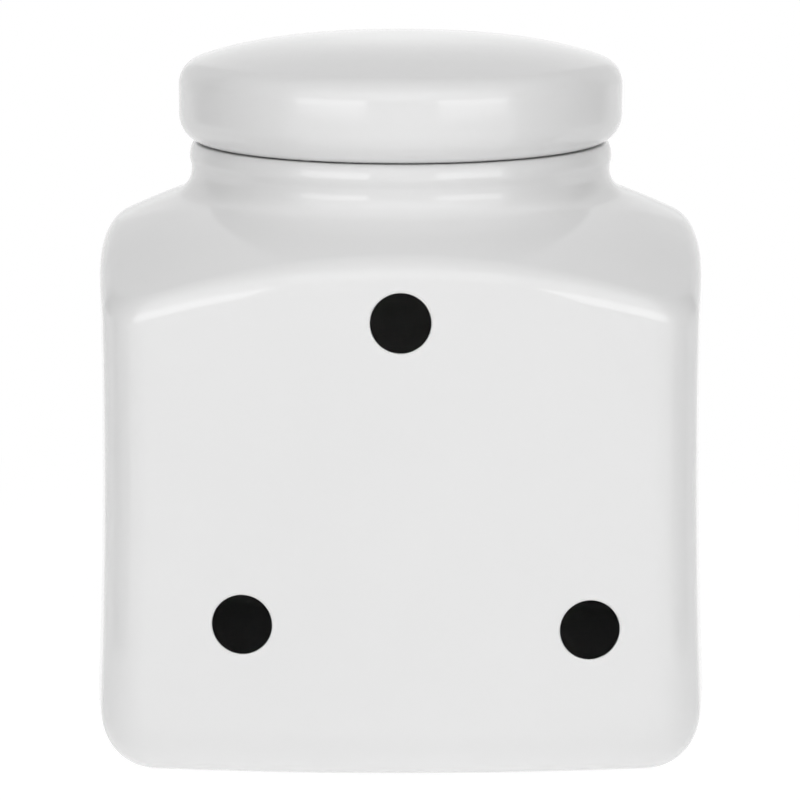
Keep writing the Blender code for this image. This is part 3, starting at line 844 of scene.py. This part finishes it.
def glaze(name, kind):
    """Fired glaze: faint clouds of tone, thin on bulges, with the soft ripple of its cooling."""
    material, nodes, shader = surface_material(name)
    tone = nodes.remap(nodes.noise(GLAZE_CLOUDS), CLOUD_SPAN, CLOUD_TONES)
    bulge = nodes.add("ShaderNodeAttribute", {"attribute_name": "bulge"})["Fac"]
    thin = nodes.remap(bulge, THIN_BULGES, THIN_SHARES)
    colour = nodes.add("ShaderNodeMix", {"data_type": "RGBA"}, _0=thin, _6=(*kind.colour, 1),
                       _7=(*kind.thin_colour, 1))[2]
    rough = nodes.remap(nodes.noise(GLAZE_SPECKS), NOISE_SPAN,
                        [kind.roughness * spread for spread in ROUGHNESS_SPREAD])
    height = nodes.add("ShaderNodeMath", {"operation": "MULTIPLY_ADD"},
                       _0=nodes.noise(GLAZE_PEEL), _1=PEEL_SHARE,
                       _2=nodes.noise(GLAZE_WAVES))["Value"]
    nodes.feed(shader, Base_Color=nodes.toned(colour, tone), Roughness=rough,
               Normal=nodes.bump(height, kind.ripple, RIPPLE_HEIGHT), IOR=GLAZE_IOR)
    return material


def bare_clay():
    """Unglazed fired clay on the foot ring and the tip of the lid's flange."""
    material, nodes, shader = surface_material("bare_clay")
    tone = nodes.remap(nodes.noise(CLAY_STAINS), NOISE_SPAN, CLAY_TONES)
    grain = nodes.bump(nodes.noise(CLAY_GRAIN), CLAY_BUMP, CLAY_GRAIN_HEIGHT)
    nodes.feed(shader, Base_Color=nodes.toned(CLAY_COLOUR, tone), Roughness=CLAY_ROUGHNESS,
               Normal=grain)
    return material


def silicone():
    """Milky silicone, satin, with a faint haze of dust and moulding marks."""
    material, nodes, shader = surface_material("milky_silicone")
    haze = nodes.noise(SILICONE_HAZE)
    tone = nodes.remap(haze, NOISE_SPAN, SILICONE_TONES)
    nodes.feed(shader, Base_Color=nodes.toned(SILICONE_COLOUR, tone),
               Roughness=nodes.remap(haze, NOISE_SPAN, SILICONE_ROUGHNESS),
               Subsurface_Weight=SILICONE_SCATTER, Subsurface_Radius=SILICONE_REACH,
               Subsurface_Scale=1.0)
    return material


# Floor and world: levels are radiances beside a white of 1. Near the jar the floor that the
# camera and the glaze see is a glow with a share that takes shadow, and beyond it is white.
FLOOR_SIDES = 96
FLOOR_RADIUS = 0.9
FLOOR_CENTRE = (0, 0.3, 0)
FLOOR_ALBEDO = 0.80
FLOOR_BOUNCE = 0.34
FLOOR_GLOW = 0.86
FLOOR_SHADE = 0.25
SHADOW_REACH = (0.13, 0.32)
AMBIENT = 0.135
WHITE = 1.0

# Cards: spans along Y and up, and where they fade from their level into white
Card = namedtuple("Card", "name depths heights")
CARDS = (Card("side_card", (-0.15, -0.02), (0, 0.40)),
         Card("rear_card", (-0.02, 0.18), (0.125, 0.40)))
CARD_DISTANCE = 0.22
CARD_LEVEL = 0.38
CARD_FADE_UP = (0.20, 0.38)
CARD_FADE_BACK = (0.05, 0.18)

# Lights: azimuths from the camera's side towards +X, elevations, distance, radiance beside
# white, and whether the glaze mirrors them. Angles are in degrees, and are seen from the axis
# at the height of LIGHT_CENTRE. Two softboxes stand beside the camera, with weaker light over
# them and between, and fills light the jar from above, beside and behind.
LIGHT_CENTRE = 0.10
LEFT, RIGHT = (-52, -16), (18, 53.5)
Light = namedtuple("Light", "name azimuths elevations distance level mirrored")
LIGHTS = (
    Light("softbox_left", LEFT, (3, 22), 0.5, 2.20, True),
    Light("softbox_edge_left", LEFT, (1, 3), 0.5, 1.10, True),
    Light("softbox_fill_left", LEFT, (-8, 1), 0.5, 0.65, False),
    Light("softbox_right", RIGHT, (3, 22), 0.5, 2.20, True),
    Light("softbox_edge_right", RIGHT, (1, 3), 0.5, 1.10, True),
    Light("softbox_fill_right", RIGHT, (-8, 1), 0.5, 0.65, False),
    Light("upper_left", (-59, -18), (22, 52), 0.6, 0.60, True),
    Light("upper_right", (18, 59), (22, 52), 0.6, 0.60, True),
    Light("upper_front", (-18, 18), (22, 52), 0.8, 0.85, True),
    Light("top_front", (-50, 50), (52, 64), 0.8, 1.30, False),
    Light("top", (-60, 60), (64, 72), 0.8, 3.80, False),
    Light("back", (160, 200), (5, 52), 0.9, 0.11, True),
    Light("fill_left", (-145, -110), (-8, 22), 0.7, 0.60, False),
    Light("fill_right", (110, 145), (-8, 22), 0.7, 0.60, False),
    Light("fill_back", (145, 215), (-8, 22), 0.9, 2.50, False),
)

# Camera: sensor and lens in millimetres, and the dip of its view in degrees
CAMERA_SENSOR = 36.0
CAMERA_LENS = 150.5
CAMERA_PLACE = (-0.00015, -0.840, 0.2453)
CAMERA_DIP = 11.22


def seen_directly(nodes):
    """1 for rays that look at the background: camera, mirror and see-through rays."""
    path = nodes.add("ShaderNodeLightPath")
    return nodes.largest(nodes.largest(path["Is Camera Ray"], path["Is Glossy Ray"]),
                         path["Is Transmission Ray"])


def make_floor():
    """White floor that keeps a soft shadow of the object."""
    bpy.ops.mesh.primitive_circle_add(vertices=FLOOR_SIDES, radius=FLOOR_RADIUS,
                                      fill_type="NGON", location=FLOOR_CENTRE)
    floor = bpy.context.object
    floor.name = "studio_floor"
    material, nodes = blank_material("studio_floor")
    for_light = nodes.sum(nodes.diffuse(FLOOR_ALBEDO), nodes.emission(FLOOR_BOUNCE))
    near = nodes.sum(nodes.diffuse(FLOOR_SHADE), nodes.emission(FLOOR_GLOW))
    position = nodes.add("ShaderNodeNewGeometry")["Position"]
    distance = nodes.add("ShaderNodeVectorMath", {"operation": "LENGTH"}, _0=position)["Value"]
    fade = nodes.remap(distance, SHADOW_REACH, (0.0, 1.0), "SMOOTHSTEP")
    for_looks = nodes.mix(fade, near, nodes.emission(WHITE))
    look = nodes.mix(seen_directly(nodes), for_light, for_looks)
    nodes.add("ShaderNodeOutputMaterial", Surface=look)
    floor.data.materials.append(material)


def make_world():
    """White background, with a dimmer ambient light on the object."""
    world = bpy.data.worlds.new("studio")
    bpy.context.scene.world = world
    world.use_nodes = True
    world.node_tree.nodes.clear()
    nodes = Nodes(world.node_tree)
    look = nodes.mix(seen_directly(nodes), nodes.background(AMBIENT), nodes.background(WHITE))
    nodes.add("ShaderNodeOutputWorld", Surface=look)


def make_light(light):
    """Rectangular light, square to the line from the light centre, of one entry in the table."""
    azimuth = math.radians(sum(light.azimuths) / 2)
    elevation = math.radians(sum(light.elevations) / 2)
    half_across = math.radians(light.azimuths[1] - light.azimuths[0]) / 2
    half_up = math.radians(light.elevations[1] - light.elevations[0]) / 2
    data = bpy.data.lights.new(light.name, "AREA")
    data.shape = "RECTANGLE"
    data.size = 2 * light.distance * math.cos(elevation) * math.tan(half_across)
    data.size_y = 2 * light.distance * math.tan(half_up)
    data.energy = light.level * math.pi * data.size * data.size_y
    box = bpy.data.objects.new(light.name, data)
    bpy.context.scene.collection.objects.link(box)
    outwards = Vector((math.sin(azimuth) * math.cos(elevation),
                       -math.cos(azimuth) * math.cos(elevation), math.sin(elevation)))
    box.location = Vector((0, 0, LIGHT_CENTRE)) + outwards * light.distance
    box.rotation_euler = outwards.to_track_quat("Z", "Y").to_euler()
    box.visible_camera = False
    box.visible_glossy = light.mirrored


def make_cards():
    """Grey cards beside the jar that only its glaze mirrors.

    They darken its corners and the sides of neck and lid, and fade into the white background
    upwards and backwards.
    """
    material, nodes = blank_material("side_card")
    position = nodes.add("ShaderNodeNewGeometry")["Position"]
    place = nodes.add("ShaderNodeSeparateXYZ", Vector=position)
    levels = (CARD_LEVEL, WHITE)
    up = nodes.remap(place["Z"], CARD_FADE_UP, levels, "SMOOTHSTEP")
    back = nodes.remap(place["Y"], CARD_FADE_BACK, levels, "SMOOTHSTEP")
    nodes.add("ShaderNodeOutputMaterial", Surface=nodes.emission(nodes.largest(up, back)))
    for name, (near, far), (low, high) in CARDS:
        for x in (-CARD_DISTANCE, CARD_DISTANCE):
            corners = [(x, near, low), (x, far, low), (x, far, high), (x, near, high)]
            mesh = bpy.data.meshes.new(name)
            mesh.from_pydata(corners, [], [(0, 1, 2, 3)])
            mesh.materials.append(material)
            card = bpy.data.objects.new(name, mesh)
            bpy.context.scene.collection.objects.link(card)
            card.visible_camera = False
            card.visible_diffuse = False
            card.visible_shadow = False


def make_camera():
    """Camera a little above the lid, looking slightly down on the front face."""
    data = bpy.data.cameras.new("camera")
    data.sensor_width = CAMERA_SENSOR
    data.lens = CAMERA_LENS
    data.dof.use_dof = False
    camera = bpy.data.objects.new("camera", data)
    bpy.context.scene.collection.objects.link(camera)
    camera.location = CAMERA_PLACE
    camera.rotation_euler = (math.radians(90 - CAMERA_DIP), 0, 0)
    bpy.context.scene.camera = camera


def main():
    """Build the pieces, their light and the camera."""
    # The liner and vent glazes carry painted shade: darker greys inside the jar, the lid and the
    # vents.
    materials = [glaze("white_glaze", WHITE_GLAZE), glaze("liner_glaze_with_painted_shade", LINER_GLAZE_WITH_PAINTED_SHADE),
                 bare_clay(), glaze("vent_glaze_with_painted_shade", VENT_GLAZE_WITH_PAINTED_SHADE)]
    make_jar(materials)
    make_lid(materials[:CUT])
    make_seal(silicone())
    make_floor()
    make_world()
    for light in LIGHTS:
        make_light(light)
    make_cards()
    make_camera()
    bpy.context.scene.view_settings.view_transform = "Standard"


main()
